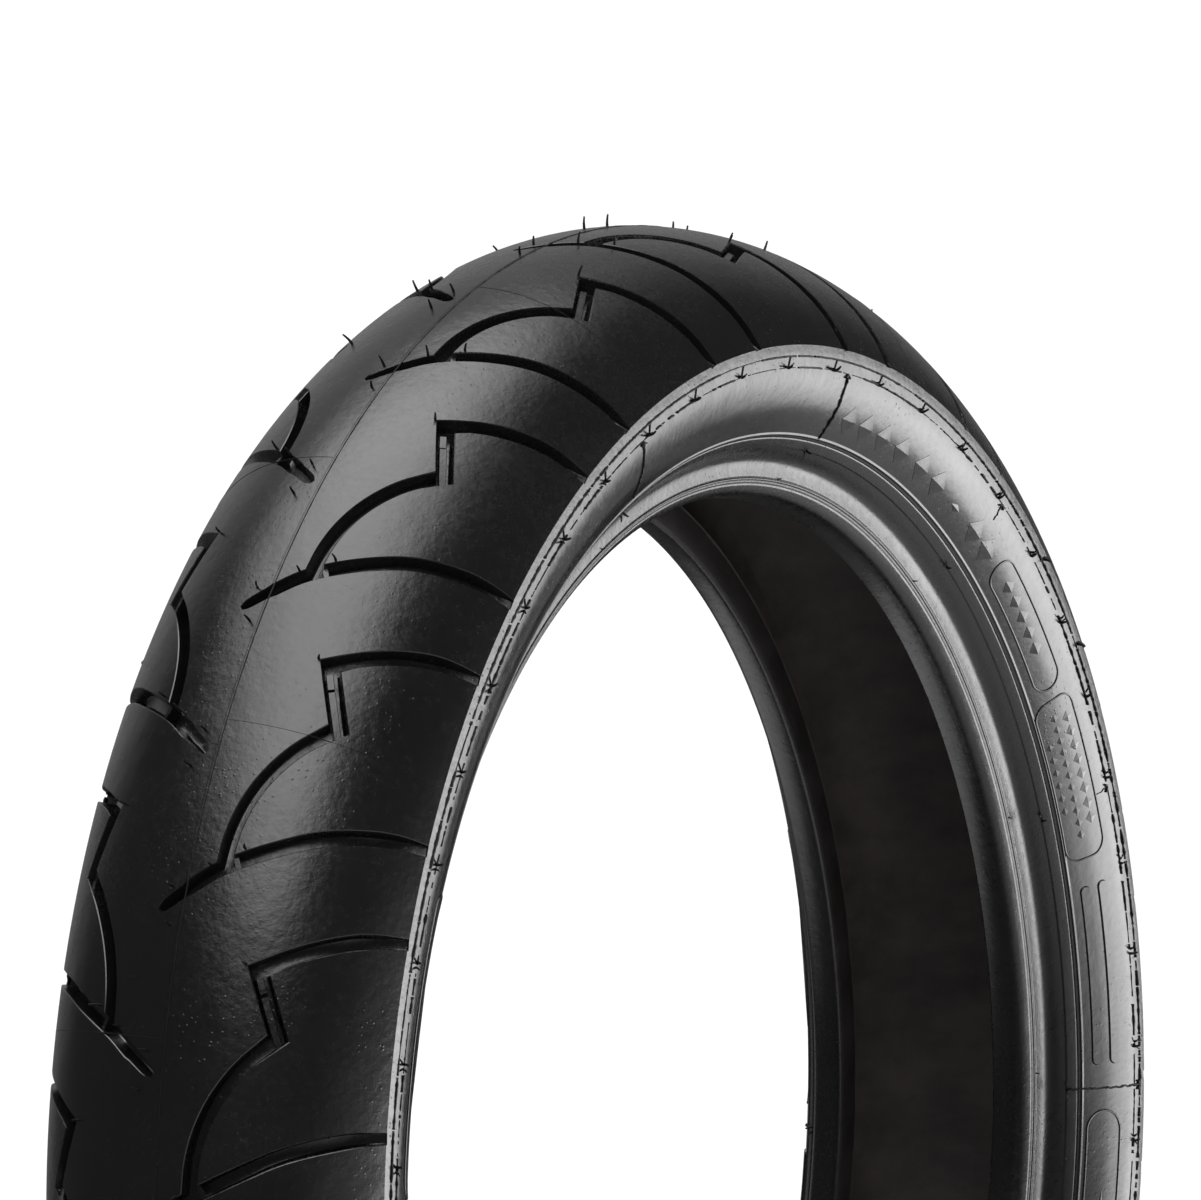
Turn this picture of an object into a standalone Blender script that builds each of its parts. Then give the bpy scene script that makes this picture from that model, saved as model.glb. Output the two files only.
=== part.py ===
"""Motorcycle tyre, 130/70-17 class, tubeless, off the rim.

Units are metres. The origin is the centre of the tyre, the wheel axle is the Y axis and Z is up.
Right is the -Y side and left is the +Y side, as on a motorcycle that faces +X.

The tyre is built as it is in the factory: inner liner, two carcass plies anchored round the bead
cores, two breaker plies, a tread base, a grooved tread cap, and rubber on the sidewalls and beads.
Every part is a ring, drawn as a cross-section in (radius, side) pairs and turned about the axle.
"""

import math

import bmesh
import bpy

MM = 0.001

# Tread arc: one arc across the whole tread
CROWN_RADIUS = 307.0
ARC_RADIUS = 70.0
ARC_CENTRE = CROWN_RADIUS - ARC_RADIUS
TREAD_EDGE_ANGLE = 62.3
ARC_STEPS = 8

# All rings are turned with the same number of flat segments, so the nested rings stay parallel
SEGMENTS = 36
GAP = 0.3
CORNER_GAP = 0.4

# Radial build under the tread arc, each given as the arc radius of its outer and inner face
CAP_BOTTOM = 61.5
BASE_FACES = (61.2, 59.7)
BREAKER_OUTER_FACES = (59.4, 58.5)
BREAKER_INNER_FACES = (58.2, 57.3)
DOWN_PLY_FACES = (57.0, 56.3)

# Stations across the crown where every layer bends, as angles on the tread arc
STATIONS = (0.0, 28.0, 56.0, 78.0)

# Half-widths of the layers, counted in stations
BASE_REACH = 1.93
BREAKER_OUTER_REACH = 1.70
BREAKER_INNER_REACH = 1.80
WEDGE_REACH = 2.50
SIDEWALL_REACH = 2.56
SHOULDER_STATION = 2
LOWER_STATION = 3
REACH_GAP = 0.02

# Guide line of the turned-up ply below the last station, as (radius, side):
# down the inside of the bead filler, round the bead core, and up the outside of the filler
GUIDE_ARC = 57.0
BEAD_GUIDE = ((238.0, 45.5), (228.5, 33.4), (222.7, 33.4), (222.7, 37.2), (228.5, 37.2), (241.5, 48.7))

# Layers counted outwards from the guide line: the near and far face of each
WRAP_LAYER = (0.3, 0.7)
TURNUP_PLY_LAYER = (1.0, 1.7)
CHAFER_LAYER = (2.0, 2.6)
LINER_LAYER = (2.0, 3.2)

# Bead core: a bundle of round wires, with its corner wires left out
WIRE = 0.95
CORE_ROWS = 5
CORE_COLUMNS = 4
CORE_CORNER = 0.25

# Corners of the guide line that the bead parts are drawn from, as indexes into it
INNER_FILLER_CORNER = 4
INNER_BASE_CORNER = 6
OUTER_BASE_CORNER = 7
OUTER_FILLER_CORNER = 8
TURNUP_END = 9

# Where the bead parts stop, measured along the radius
FIT = 0.05
WRAP_DROP = 0.2
CHAFER_DROP = 1.3
DOWN_PLY_STOP = 229.5
FILLER_TIP = (246.2, 52.75)
FILLER_SHARE = 0.12

# Outside of the sidewall and bead, from the tread edge down to the heel and across to the toe
SHOULDER = (265.2, 62.3)
WIDEST = (258.0, 61.8)
UPPER_SIDEWALL = (250.0, 59.5)
RIM_LINE = (238.4, 52.7)
LOWER_SIDEWALL = (232.5, 47.0)
FLANGE_TOP = (227.0, 43.0)
HEEL = (222.8, 43.0)
HEEL_BEVEL = (219.4, 41.2)
SEAT = (218.0, 37.9)
TOE = (216.9, 30.4)
TOE_TOP = (226.2, 29.6)
STRIP_JOINT = (241.2, 54.35)

# Tread pattern: one pitch, repeated round the tyre. Angles run round the axle, arc lengths across
# the tread, positive towards the right side. The left half is mirrored and half a pitch on.
PITCHES = 18
PITCH_ANGLE = 360.0 / PITCHES
RIGHT_PHASE = -53.0
LEFT_PHASE = RIGHT_PHASE + PITCH_ANGLE / 2.0
MIRROR_LINE = -6.0
GROOVE_DEPTH = 6.0
CUTTER_HEADROOM = 4.0

# Each groove as (angle, arc length, width, share of the depth); both run out over the tread edge
LONG_GROOVE = (
    (0.0, -8.5, 4.0, 0.8),
    (2.8, 11.6, 4.4, 1.0),
    (5.4, 41.0, 4.4, 1.0),
    (7.0, 77.5, 3.6, 0.35),
)
STEPPED_GROOVE = (
    (3.0, 11.8, 4.4, 1.0),
    (7.6, 15.8, 4.8, 1.0),
    (10.6, 26.0, 5.0, 1.0),
    (12.7, 38.5, 5.4, 0.9),
    (16.9, 28.7, 5.4, 0.9),
    (19.2, 52.7, 4.6, 1.0),
    (20.4, 77.5, 3.6, 0.35),
)

RUBBER = (0.021, 0.021, 0.023)
LINER_RUBBER = (0.016, 0.012, 0.010)
BASE_RUBBER = (0.030, 0.029, 0.028)
NYLON = (0.42, 0.33, 0.20)
BRONZED_WIRE = (0.55, 0.38, 0.20)


def polar(rho, angle):
    """Point of the cross-section on an arc about the crown's centre."""
    turn = math.radians(angle)
    return (ARC_CENTRE + rho * math.cos(turn), rho * math.sin(turn))


def blend(start, end, share):
    return tuple(a + (b - a) * share for a, b in zip(start, end))


def crown(rho, reach):
    """Point on a layer of the crown, where reach counts the stations and lies on straight chords."""
    index = min(int(reach), len(STATIONS) - 2)
    return blend(polar(rho, STATIONS[index]), polar(rho, STATIONS[index + 1]), reach - index)


def mirrored(point):
    return (point[0], -point[1])


def offset_path(path, distance):
    """Path moved sideways by a distance, with mitred corners; positive is to its right."""
    normals = []
    for (r0, y0), (r1, y1) in zip(path, path[1:]):
        length = math.hypot(r1 - r0, y1 - y0)
        normals.append(((y1 - y0) / length, -(r1 - r0) / length))
    moved = []
    for index, (radius, side) in enumerate(path):
        before = normals[max(index - 1, 0)]
        after = normals[min(index, len(normals) - 1)]
        scale = distance / (1.0 + before[0] * after[0] + before[1] * after[1])
        moved.append((radius + (before[0] + after[0]) * scale, side + (before[1] + after[1]) * scale))
    return moved


def guide(distance):
    """Guide line of the left half from the crown to the end of the turn-up, moved by a distance.

    A positive distance goes away from the bead core: towards the cavity, under the bead and
    out towards the rim flange.
    """
    path = [polar(GUIDE_ARC, angle) for angle in STATIONS] + list(BEAD_GUIDE)
    moved = offset_path(path, -distance)
    # the first point keeps the mitre that its mirror image gives it
    half_angle = math.radians(STATIONS[1] / 2.0)
    moved[0] = (ARC_CENTRE + GUIDE_ARC - distance / math.cos(half_angle), 0.0)
    return moved


def at_radius(start, end, radius):
    """Point where the line from start to end has a given radius."""
    return blend(start, end, (radius - start[0]) / (end[0] - start[0]))


def material(name, colour, roughness, metallic=0.0):
    made = bpy.data.materials.new(name)
    made.use_nodes = True
    shader = made.node_tree.nodes["Principled BSDF"]
    shader.inputs["Base Color"].default_value = (*colour, 1.0)
    shader.inputs["Roughness"].default_value = roughness
    shader.inputs["Metallic"].default_value = metallic
    made.diffuse_color = (*colour, 1.0)
    return made


def ring(name, section, finish, collection):
    """Closed cross-section of (radius, side) pairs in millimetres, turned about the axle."""
    area = sum(a[0] * b[1] - b[0] * a[1] for a, b in zip(section, section[1:] + section[:1]))
    outline = section if area < 0.0 else section[::-1]
    mesh = bpy.data.meshes.new(name)
    vertices = [(radius * MM, 0.0, side * MM) for radius, side in outline]
    edges = [(i, (i + 1) % len(vertices)) for i in range(len(vertices))]
    mesh.from_pydata(vertices, edges, [])
    mesh.materials.append(finish)
    made = bpy.data.objects.new(name, mesh)
    # the section is turned about local Z, which then lies along the axle
    made.rotation_euler = (-math.pi / 2.0, 0.0, 0.0)
    collection.objects.link(made)
    screw = made.modifiers.new("Turn", "SCREW")
    screw.steps = SEGMENTS
    screw.render_steps = SEGMENTS
    screw.use_merge_vertices = True
    screw.merge_threshold = 0.00001
    screw.use_smooth_shade = True
    return made


def side_pair(name, section, finish, collection):
    """The left ring and its mirror image on the right."""
    ring(name + "_left", section, finish, collection)
    ring(name + "_right", [mirrored(point) for point in section], finish, collection)


def across(half):
    """Full path from right to left, from the left half that starts on the centre line."""
    return [mirrored(point) for point in reversed(half[1:])] + list(half)


def layer(name, outer_half, inner_half, finish, collection):
    """A ply that crosses the crown from one side to the other."""
    ring(name, across(outer_half) + across(inner_half)[::-1], finish, collection)


def crown_half(rho, reach):
    stations = [polar(rho, angle) for index, angle in enumerate(STATIONS) if index < reach]
    return stations + [crown(rho, reach)]


def crown_layer(name, faces, reach, finish, collection):
    layer(name, crown_half(faces[0], reach), crown_half(faces[1], reach), finish, collection)


def tread_point(angle, arc_length, height):
    """Point over the tread arc; its height is counted outwards from the tread surface."""
    across_arc = arc_length / ARC_RADIUS
    radius = ARC_CENTRE + (ARC_RADIUS + height) * math.cos(across_arc)
    side = -(ARC_RADIUS + height) * math.sin(across_arc)
    turn = math.radians(angle)
    return (radius * math.sin(turn) * MM, side * MM, radius * math.cos(turn) * MM)


def groove_body(mesh, path, phase, side):
    """Add one groove cutter: a strip that follows a path on the tread, with mitred corners.

    side is 1 on the right and -1 on the left, where the pattern is mirrored about MIRROR_LINE.
    """
    # the path is laid out flat in millimetres, where its edges are found, and wrapped round again
    scale = math.radians(CROWN_RADIUS)
    flat = [(angle * scale, arc) for angle, arc, width, share in path]
    unit_edge = offset_path(flat, 1.0)
    stations = []
    for (along, arc), edge, (_, _, width, share) in zip(flat, unit_edge, path):
        step = ((edge[0] - along) * width / 2.0, (edge[1] - arc) * width / 2.0)
        depth = -GROOVE_DEPTH * share
        corners = []
        for sign, height in ((1, CUTTER_HEADROOM), (-1, CUTTER_HEADROOM), (-1, depth), (1, depth)):
            corner_arc = arc + sign * step[1]
            radius = ARC_CENTRE + ARC_RADIUS * math.cos(corner_arc / ARC_RADIUS)
            corner_angle = along / scale + sign * step[0] / math.radians(radius) + phase
            if side < 0:
                corner_arc = 2.0 * MIRROR_LINE - corner_arc
            corners.append(mesh.verts.new(tread_point(corner_angle, corner_arc, height)))
        stations.append(corners)
    for near, far in zip(stations, stations[1:]):
        for i in range(4):
            mesh.faces.new((near[i], near[(i + 1) % 4], far[(i + 1) % 4], far[i]))
    mesh.faces.new(stations[0][::-1])
    mesh.faces.new(stations[-1])


def groove_cutter(name, path, collection):
    """One object that holds this groove at every pitch, on both halves of the tread."""
    mesh = bmesh.new()
    for pitch in range(PITCHES):
        groove_body(mesh, path, RIGHT_PHASE + pitch * PITCH_ANGLE, 1)
        groove_body(mesh, path, LEFT_PHASE + pitch * PITCH_ANGLE, -1)
    bmesh.ops.recalc_face_normals(mesh, faces=mesh.faces)
    data = bpy.data.meshes.new(name)
    mesh.to_mesh(data)
    mesh.free()
    cutter = bpy.data.objects.new(name, data)
    cutter.hide_render = True
    cutter.display_type = "WIRE"
    collection.objects.link(cutter)
    return cutter


def tread_cap(finish, parts, cutters):
    """Tread rubber with its grooves cut in."""
    step = 2.0 * TREAD_EDGE_ANGLE / ARC_STEPS
    outside = [polar(ARC_RADIUS, -TREAD_EDGE_ANGLE + step * i) for i in range(ARC_STEPS + 1)]
    inside = across([crown(CAP_BOTTOM, reach) for reach in range(SHOULDER_STATION + 1)])
    cap = ring("tread_cap", outside + inside[::-1], finish, parts)
    for name, path in (("long_groove", LONG_GROOVE), ("stepped_groove", STEPPED_GROOVE)):
        cut = cap.modifiers.new(name, "BOOLEAN")
        cut.operation = "DIFFERENCE"
        cut.solver = "EXACT"
        cut.object = groove_cutter(name + "_cutter", path, cutters)


def carcass(nylon, liner_finish, parts):
    """The two carcass plies and the airtight liner inside them."""
    near, far = (guide(distance) for distance in TURNUP_PLY_LAYER)
    layer("carcass_ply_turned_up", near, far, nylon, parts)

    # the outer ply runs down outside the turned-up one and stops beside the bead core
    outer = crown_half(DOWN_PLY_FACES[0], LOWER_STATION)
    inner = crown_half(DOWN_PLY_FACES[1], LOWER_STATION)
    thickness = DOWN_PLY_FACES[0] - DOWN_PLY_FACES[1]
    inner_face = guide(TURNUP_PLY_LAYER[1] + GAP)
    outer_face = guide(TURNUP_PLY_LAYER[1] + GAP + thickness)
    outer += [outer_face[-1], at_radius(outer_face[-2], outer_face[-1], DOWN_PLY_STOP)]
    inner += [inner_face[-1], at_radius(inner_face[-2], inner_face[-1], DOWN_PLY_STOP)]
    layer("carcass_ply_outer", outer, inner, nylon, parts)

    near, far = (guide(distance)[:INNER_BASE_CORNER] for distance in LINER_LAYER)
    layer("inner_liner", near, far, liner_finish, parts)


def bead_core(finish, parts):
    """Wire bundle with its corner wires left out, as a six-sided outline."""
    inner_side = BEAD_GUIDE[2][1]
    low = BEAD_GUIDE[2][0] + FIT
    high = low + CORE_ROWS * WIRE - FIT
    outer_side = inner_side + CORE_COLUMNS * WIRE
    middle = (low + high) / 2.0
    section = [
        (low, inner_side + CORE_CORNER),
        (middle, inner_side),
        (high, inner_side + CORE_CORNER),
        (high, outer_side - CORE_CORNER),
        (middle, outer_side),
        (low, outer_side - CORE_CORNER),
    ]
    side_pair("bead_core", section, finish, parts)


def channel(near, far, inner_top, outer_top):
    """Channel section round the bottom of the bead, between two moved guide lines."""
    inner, outer = INNER_BASE_CORNER, OUTER_BASE_CORNER
    return [
        (inner_top, near[inner][1]),
        near[inner],
        near[outer],
        (outer_top, near[outer][1]),
        (outer_top, far[outer][1]),
        far[outer],
        far[inner],
        (inner_top, far[inner][1]),
    ]


def bead_wrap(finish, parts):
    """Fabric strip folded round the bead core, open at the top."""
    near, far = (guide(distance) for distance in WRAP_LAYER)
    top = BEAD_GUIDE[1][0] - WRAP_DROP
    side_pair("bead_wrap", channel(near, far, top, top), finish, parts)


def bead_filler(finish, parts):
    """Hard rubber wedge on top of the core, between the ply and its turn-up."""
    face = guide(TURNUP_PLY_LAYER[0] - GAP)
    base = BEAD_GUIDE[1][0] + GAP + FIT
    inner, outer = INNER_FILLER_CORNER, OUTER_FILLER_CORNER
    section = [
        at_radius(face[inner], face[inner + 1], base),
        face[inner],
        FILLER_TIP,
        blend(face[TURNUP_END], FILLER_TIP, FILLER_SHARE),
        at_radius(face[outer], face[TURNUP_END], base),
    ]
    side_pair("bead_filler", section, finish, parts)


def chafer(finish, parts):
    """Woven strip round the bottom of the bead, against the plies."""
    near, far = (guide(distance) for distance in CHAFER_LAYER)
    outer_top = BEAD_GUIDE[4][0] - CHAFER_DROP
    side_pair("chafer", channel(near, far, TOE_TOP[0], outer_top), finish, parts)


def rim_strip(finish, parts):
    """Abrasion rubber that meets the rim: flange face, heel, seat and toe."""
    chafer_side = guide(CHAFER_LAYER[1] + GAP)
    ply_side = guide(TURNUP_PLY_LAYER[1] + GAP + DOWN_PLY_FACES[0] - DOWN_PLY_FACES[1] + GAP)
    section = [
        STRIP_JOINT,
        RIM_LINE,
        LOWER_SIDEWALL,
        FLANGE_TOP,
        HEEL,
        HEEL_BEVEL,
        SEAT,
        TOE,
        TOE_TOP,
        (TOE_TOP[0], chafer_side[INNER_BASE_CORNER][1]),
        chafer_side[INNER_BASE_CORNER],
        chafer_side[OUTER_BASE_CORNER],
        ply_side[OUTER_FILLER_CORNER],
        ply_side[TURNUP_END],
    ]
    side_pair("rim_strip", section, finish, parts)


def sidewall(finish, parts):
    """Outer rubber from the tread edge down to the rim line."""
    ply_side = guide(TURNUP_PLY_LAYER[1] + GAP + DOWN_PLY_FACES[0] - DOWN_PLY_FACES[1] + GAP)
    tread_edge = polar(ARC_RADIUS, TREAD_EDGE_ANGLE)
    cap_corner = polar(CAP_BOTTOM, STATIONS[SHOULDER_STATION])
    section = [
        (tread_edge[0] - CORNER_GAP, tread_edge[1]),
        SHOULDER,
        WIDEST,
        UPPER_SIDEWALL,
        (STRIP_JOINT[0] + CORNER_GAP, STRIP_JOINT[1] + CORNER_GAP / 2.0),
        (ply_side[TURNUP_END][0] + CORNER_GAP, ply_side[TURNUP_END][1] + CORNER_GAP / 2.0),
        polar(DOWN_PLY_FACES[0] + CORNER_GAP, STATIONS[LOWER_STATION]),
        crown(DOWN_PLY_FACES[0] + CORNER_GAP, SIDEWALL_REACH),
        (cap_corner[0] - CORNER_GAP, cap_corner[1] + CORNER_GAP),
    ]
    side_pair("sidewall", section, finish, parts)


def shoulder_wedge(finish, parts):
    """Cushion rubber under the tread edge, stepped round the ends of the breaker plies."""
    floor = BREAKER_INNER_FACES[1]
    roof = BASE_FACES[0]
    section = [
        crown(floor, BREAKER_INNER_REACH + REACH_GAP),
        crown(floor, SHOULDER_STATION),
        crown(floor, WEDGE_REACH),
        crown(roof, SHOULDER_STATION),
        crown(roof, BASE_REACH + REACH_GAP),
        crown(BREAKER_OUTER_FACES[0], BASE_REACH + REACH_GAP),
        crown(BREAKER_OUTER_FACES[0], BREAKER_OUTER_REACH + REACH_GAP),
        crown(BREAKER_OUTER_FACES[1], BREAKER_OUTER_REACH + REACH_GAP),
        crown(BREAKER_OUTER_FACES[1], BREAKER_INNER_REACH + REACH_GAP),
    ]
    side_pair("shoulder_wedge", section, finish, parts)


def build():
    for leftover in list(bpy.data.objects):
        bpy.data.objects.remove(leftover, do_unlink=True)
    parts = bpy.data.collections.new("motorcycle_tire")
    cutters = bpy.data.collections.new("cutters")
    bpy.context.scene.collection.children.link(parts)
    bpy.context.scene.collection.children.link(cutters)

    tread_cap(material("tread_rubber", RUBBER, 0.32), parts, cutters)
    base_rubber = material("base_rubber", BASE_RUBBER, 0.6)
    nylon = material("nylon_cord", NYLON, 0.7)
    crown_layer("tread_base", BASE_FACES, BASE_REACH, base_rubber, parts)
    crown_layer("breaker_outer", BREAKER_OUTER_FACES, BREAKER_OUTER_REACH, nylon, parts)
    crown_layer("breaker_inner", BREAKER_INNER_FACES, BREAKER_INNER_REACH, nylon, parts)
    carcass(nylon, material("liner_rubber", LINER_RUBBER, 0.55), parts)
    shoulder_wedge(base_rubber, parts)
    sidewall(material("sidewall_rubber", RUBBER, 0.36), parts)
    bead_core(material("bead_wire", BRONZED_WIRE, 0.35, 1.0), parts)
    bead_wrap(nylon, parts)
    bead_filler(base_rubber, parts)
    chafer(material("chafer_fabric", (0.20, 0.17, 0.13), 0.75), parts)
    rim_strip(material("rim_strip_rubber", RUBBER, 0.30), parts)


build()
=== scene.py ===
"""Looks of a new motorcycle tyre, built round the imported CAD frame.

Millimetres are used for the tyre's own measures and turned into metres where a mesh is made.
Angles run round the axle from the top of the tyre, towards +X. The right side is -Y.
"""

import math
import random

import bmesh
import bpy
import numpy as np
from mathutils import Matrix, Vector
from mathutils.geometry import delaunay_2d_cdt

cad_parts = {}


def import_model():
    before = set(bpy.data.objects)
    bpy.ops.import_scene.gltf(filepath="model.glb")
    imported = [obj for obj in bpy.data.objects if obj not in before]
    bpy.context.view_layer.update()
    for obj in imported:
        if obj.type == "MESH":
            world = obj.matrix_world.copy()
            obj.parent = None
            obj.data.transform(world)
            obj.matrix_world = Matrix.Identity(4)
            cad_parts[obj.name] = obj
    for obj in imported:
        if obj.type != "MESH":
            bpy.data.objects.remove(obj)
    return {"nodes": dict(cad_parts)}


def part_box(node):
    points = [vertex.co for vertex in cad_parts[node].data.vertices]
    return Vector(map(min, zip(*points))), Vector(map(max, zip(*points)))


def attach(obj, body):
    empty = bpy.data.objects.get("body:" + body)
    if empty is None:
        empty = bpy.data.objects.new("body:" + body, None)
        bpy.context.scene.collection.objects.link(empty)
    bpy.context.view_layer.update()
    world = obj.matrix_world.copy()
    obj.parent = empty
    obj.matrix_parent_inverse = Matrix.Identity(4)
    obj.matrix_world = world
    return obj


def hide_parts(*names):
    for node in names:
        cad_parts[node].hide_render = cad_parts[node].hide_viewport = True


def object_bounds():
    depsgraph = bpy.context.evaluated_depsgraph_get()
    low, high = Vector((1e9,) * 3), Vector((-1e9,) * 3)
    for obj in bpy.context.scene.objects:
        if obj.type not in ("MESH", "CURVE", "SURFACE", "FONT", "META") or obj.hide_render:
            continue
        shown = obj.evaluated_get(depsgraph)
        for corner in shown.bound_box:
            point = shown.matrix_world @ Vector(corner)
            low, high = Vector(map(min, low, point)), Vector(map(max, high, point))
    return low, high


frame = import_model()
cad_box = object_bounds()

MM = 0.001

# Tread arc: its crown comes from the frame, and its edge is an arc length
CROWN_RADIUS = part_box("tread_cap")[1].z / MM
ARC_RADIUS = 70.0
ARC_CENTRE = CROWN_RADIUS - ARC_RADIUS
TREAD_EDGE = 76.7
TREAD_THICKNESS = 8.6
SHOULDER_DROPS = (0.0, 1.1, 2.1, 3.2, 4.2)
PARTING_DROP = SHOULDER_DROPS[-1]
SEAM_RIDGE = ((0.28, 0.0), (0.38, 0.09), (0.48, 0.09), (0.58, 0.0))  # (arc, height)
SEAM_ARC = 0.43  # the torn flash runs along the ridge

# Sidewall and bead outline below the tread edge, as (radius, side)
SIDEWALL_OUTLINE = (
    (269.0, 62.25),
    (265.2, 62.4),
    (258.0, 61.9),
    (250.0, 59.5),
    (244.0, 56.4),
    (238.4, 52.7),
    (235.2, 50.0),
    (232.9, 47.4),
    (231.3, 45.1),
    (229.9, 43.75),
    (227.4, 43.2),
    (224.0, 43.05),
)
HEEL = (
    (224.0, 43.05),
    (223.1, 42.85),
    (222.2, 42.4),
    (221.1, 41.75),
    (219.9, 40.9),
    (218.9, 39.8),
    (218.25, 38.4),
    (217.9, 36.6),
)
TOE = (216.9, 30.6)
TOE_TOP = (228.5, 29.75)
TOE_SIDE = 29.9  # faces nearer to the middle plane than this are toe rubber

# Hidden inner faces of the rings, as (radius, side)
SIDEWALL_INSIDE = ((241.0, 52.2), (249.0, 56.4), (258.0, 53.0), (266.0, 53.0))
BEAD_INSIDE = (
    (217.6, 29.7),
    (219.5, 29.35),
    (222.5, 29.4),
    (226.0, 29.55),
    TOE_TOP,
    (228.8, 30.6),
    (219.1, 30.5),
    (219.1, 38.4),
    (220.35, 40.4),
    (227.4, 40.4),
    (237.0, 50.2),
)
LINER_HALF = (
    (290.7, 0.0),
    (284.4, 25.2),
    (267.0, 44.6),
    (249.5, 52.0),
    (240.4, 43.3),
    (230.1, 30.3),
    (226.5, 29.9),
)
LINER_EDGE = (226.5, 31.1)

# Outline stretches of the two outer rings, as (start drop, end drop, step). The fine ones, on each
# side of the rim groove, hold only their far end and step.
SIDEWALL_STRETCHES = ((PARTING_DROP + 0.03, 12.0, 0.9), (12.6, 30.6, 1.0))
SIDEWALL_FINE = (31.0, 0.14)
BEAD_FINE = (34.4, 0.12)
BEAD_STRETCHES = (
    (34.7, 36.0, 0.3),
    (36.4, 37.2, 0.8),
    (37.4, 39.2, 0.15),
    (39.9, 49.4, 0.9),
    (49.7, 53.4, 0.13),
)
BEAD_HEEL_START = 53.6

# Numbers of flat segments round the axle
TREAD_SEGMENTS = 540
SIDE_SEGMENTS = 480
LINER_SEGMENTS = 360

# Tread pattern, one pitch: (angle, arc length) from the start of the long groove, in degrees and mm
PITCHES = 18
PITCH_ANGLE = 360.0 / PITCHES
RIGHT_PHASE = -53.0
LEFT_PHASE = RIGHT_PHASE + PITCH_ANGLE / 2.0
MIRROR_LINE = -6.0
GROOVE_DEPTH = 6.0
TIE_DEPTH = 1.9
GROOVE_WIDTH = 5.0
LONG_GROOVE = (
    (0.0, -8.6),
    (1.4, 1.3),
    (2.75, 11.3),
    (4.5, 29.3),
    (5.55, 41.3),
    (6.3, 54.0),
    (6.8, 66.0),
    (7.0, 77.0),
)
LONG_GROOVE_TAPER = {0: 0.35, 1: 0.72, 2: 0.80, 3: 0.82, 4: 0.84, 5: 0.86}
TIE_ARCS = (14.9, 16.4)  # the deep cuts of the long groove end here
TIE_CUT = (13.0, 18.5)  # and a shallow cut joins them
FIRST_SWEEP = ((2.9, 11.7), (5.0, 12.5), (7.0, 15.1), (9.0, 20.0), (11.0, 27.6), (12.8, 37.6))
LAST_SWEEP = ((16.8, 28.8), (17.9, 38.7), (19.0, 51.0), (19.8, 63.0), (20.3, 77.0))
SWEEP_TRIM = 4  # curve points left out where a sweep meets the step
STEP_POINTS = 5
STEP_WIDTH = 5.8
STEP_BAR_WIDTH = 2.5
STEP_BAR_SHIFT = -0.6
STEP_BAR_BLOCKS = ((-0.22, 0.60, -1.7), (0.67, 0.90, -2.8))  # (start share, end share, top)

# Vent stalks on the tread, as (angle, arc) in one pitch
STALK_SPOTS = ((-0.9, -3.6), (1.5, -5.3), (2.9, 7.4), (4.15, 17.5), (17.1, 24.3))
FLOOR_HEIGHT = -0.307  # metres; stalks that would pass through the floor are left out

# Joints of the mould segments across the tread, in degrees
FIRST_JOINT = -60.8
JOINT_PITCH = 40.0
JOINT_TILT = 0.01  # degrees for one millimetre of arc

# Vents on the sidewall, in degrees
VENTS = 50
FIRST_VENT = 5.7
KNOB_ANGLES = (43.4, 52.0, 223.4, 232.0)

# Joints of the sidewall mould, as (angle, top drop, bottom drop), twice round the tyre
SIDE_JOINTS = (
    (-24.2, 8.0, 30.0),
    (7.8, 8.0, 32.5),
    (35.2, 8.0, 14.5),
    (64.0, 8.0, 14.4),
    (87.8, 4.4, 36.0),
)
HALF_TURNS = (0.0, 180.0)

# Stud rows in the panel, as (first angle, count, pitch, drop, size)
PANEL_STUDS = (
    (56.2, 8, 1.32, 18.7, 2.3),
    (55.7, 11, 1.08, 24.0, 1.6),
    (58.0, 6, 1.2, 28.6, 1.5),
)

# Sections swept along a surface, as (sideways, height)
JOINT_LINE = ((-0.16, -0.2), (-0.05, 0.09), (0.05, 0.09), (0.16, -0.2))
SEAM_FLASH = ((-0.28, -0.2), (-0.17, 0.2), (0.17, 0.2), (0.28, -0.2))
THIN_FLASH = ((-0.22, -0.2), (-0.10, 0.36), (0.10, 0.36), (0.22, -0.2))
BOLD_FLASH = ((-0.40, -0.2), (-0.22, 0.68), (0.22, 0.68), (0.40, -0.2))
OUTLINE_RIB = (
    (-0.42, -0.3),
    (-0.30, 0.30),
    (-0.12, 0.38),
    (0.12, 0.38),
    (0.30, 0.30),
    (0.42, -0.3),
)

ROOT_DEPTH = -0.3  # small relief starts this far under its surface
TREAD_CREASE = 17.0  # degrees; sharper edges of the cut tread stay sharp

random.seed(17)


# ---------------------------------------------------------------- surfaces


def smooth_curve(points, per_span=8):
    """Catmull-Rom curve through the points, in the plane."""
    known = [np.array(p, float) for p in points]
    padded = [2 * known[0] - known[1]] + known + [2 * known[-1] - known[-2]]
    curve = []
    for p0, p1, p2, p3 in zip(padded, padded[1:], padded[2:], padded[3:]):
        for step in range(per_span):
            t = step / per_span
            curve.append(
                0.5 * (2 * p1 + (p2 - p0) * t + (2 * p0 - 5 * p1 + 4 * p2 - p3) * t**2
                       + (3 * p1 - p0 - 3 * p2 + p3) * t**3)
            )
    curve.append(known[-1])
    return np.array(curve)


def tread_section(arc, height=0.0):
    """(radius, side) on the tread arc, a radial height above it."""
    turn = arc / ARC_RADIUS
    return (ARC_CENTRE + ARC_RADIUS * math.cos(turn) + height, ARC_RADIUS * math.sin(turn))


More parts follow.
